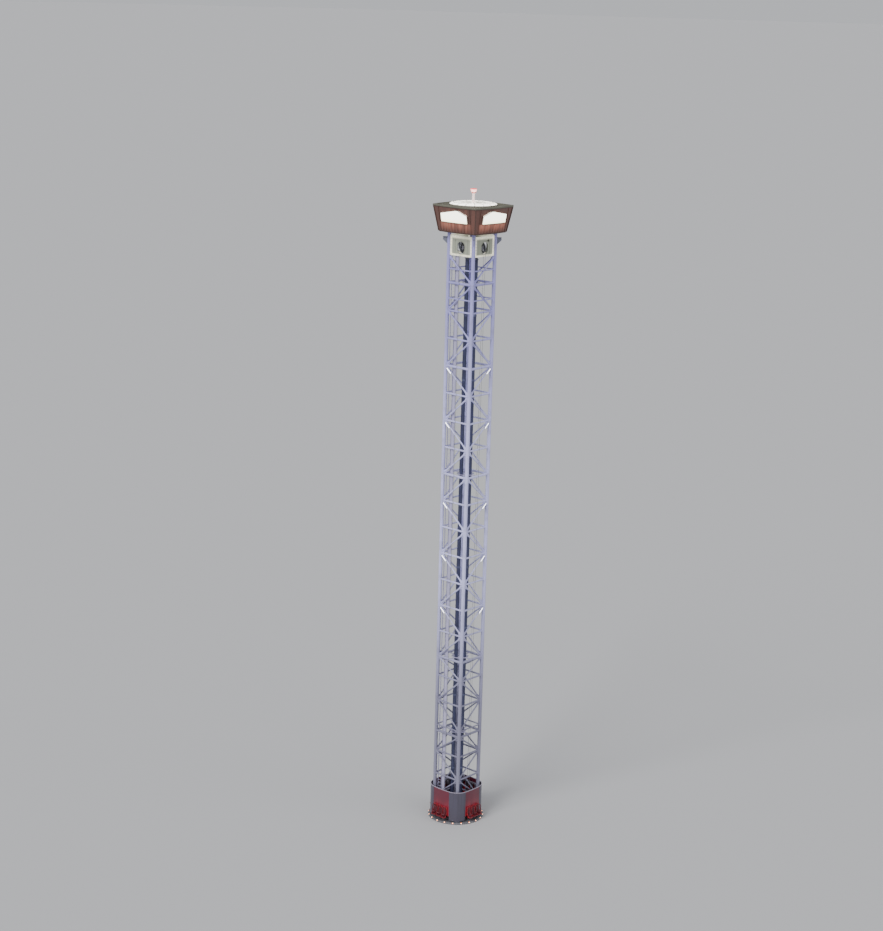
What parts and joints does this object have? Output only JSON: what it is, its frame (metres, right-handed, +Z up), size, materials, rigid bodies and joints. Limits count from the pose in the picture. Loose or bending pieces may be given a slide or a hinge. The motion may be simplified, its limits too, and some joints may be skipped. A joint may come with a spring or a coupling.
{
  "type": "scale model of a drop tower ride, 1:2",
  "caption": "Drop tower ride: square lattice tower on a round plinth, flared lit crown with a beacon, and a rider carriage that slides up and down the columns.",
  "frame": {"origin": "centre of the plinth's flat underside, on the tower's axis", "axes": "+Z up along the tower, the front side faces -Y and the right side faces +X"},
  "size_m": [2.7076, 2.7076, 28.795],
  "materials": {
    "plinth": "grey paint on steel plate, dull and scuffed",
    "plinth_lamps": "lit amber lenses",
    "columns": "white paint lit lavender, slightly chalky",
    "lattice": "white paint lit lavender",
    "cylinders": "grey paint, satin",
    "inner_steel": "galvanised and painted steel",
    "sheaves": "cast rim with a worn bright groove",
    "sheave_frames": "grey paint with grease marks",
    "cables": "laid wire rope, oiled",
    "head_walls": "cream paint, brightly lit",
    "brackets": "grey paint",
    "flood_lights": "lit white lenses in grey housings",
    "crown_walls": "copper brown sheet with faint seams",
    "crown_trim": "dark copper brown paint",
    "light_boxes": "lit plain white face, no lettering",
    "crown_roof": "dull grey brown sheet",
    "roof_light": "lit white translucent panels",
    "mast": "pale grey paint",
    "beacon": "lit red lens",
    "carriage_frame": "grey paint with wear at the edges",
    "rollers": "black polyurethane tyre",
    "side_panels": "maroon gloss paint on sheet",
    "corner_panels": "grey plum paint on sheet",
    "cap_rail": "pale paint",
    "seats": "dark red moulded shell with padding",
    "restraints": "dark red padded steel"
  },
  "bodies": {
    "tower": {"plinth": "plinth", "plinth_lamps": "plinth_lamps", "column_front_left": "columns", "column_front_right": "columns", "column_back_right": "columns", "column_back_left": "columns", "lattice_front": "lattice", "lattice_right": "lattice", "lattice_back": "lattice", "lattice_left": "lattice", "air_cylinders": "cylinders", "cylinder_braces": "inner_steel", "ladder": "inner_steel", "cable_tray": "inner_steel", "base_sheaves": "sheaves", "base_sheave_stands": "sheave_frames", "head_sheaves": "sheaves", "head_sheave_frame": "sheave_frames", "hoist_cables": "cables", "head_walls": "head_walls", "head_brackets": "brackets", "flood_lights": "flood_lights", "crown_soffit": "crown_walls", "crown_wall_front": "crown_walls", "crown_wall_right": "crown_walls", "crown_wall_back": "crown_walls", "crown_wall_left": "crown_walls", "crown_corner_trims": "crown_trim", "crown_light_boxes": "light_boxes", "crown_roof": "crown_roof", "roof_light": "roof_light", "mast": "mast", "beacon": "beacon"},
    "carriage": {"carriage_side_front": "carriage_frame", "carriage_side_right": "carriage_frame", "carriage_side_back": "carriage_frame", "carriage_side_left": "carriage_frame", "carriage_corners": "carriage_frame", "guide_rollers": "rollers", "side_panels": "side_panels", "corner_panels": "corner_panels", "cap_rail": "cap_rail", "seats_front": "seats", "seats_right": "seats", "seats_back": "seats", "seats_left": "seats", "restraints_front": "restraints", "restraints_right": "restraints", "restraints_back": "restraints", "restraints_left": "restraints"}
  },
  "joints": [
    {"name": "carriage_lift", "type": "slide", "parent": "tower", "child": "carriage", "axis": [0, 0, 1], "range_m": [0, 24]}
  ]
}
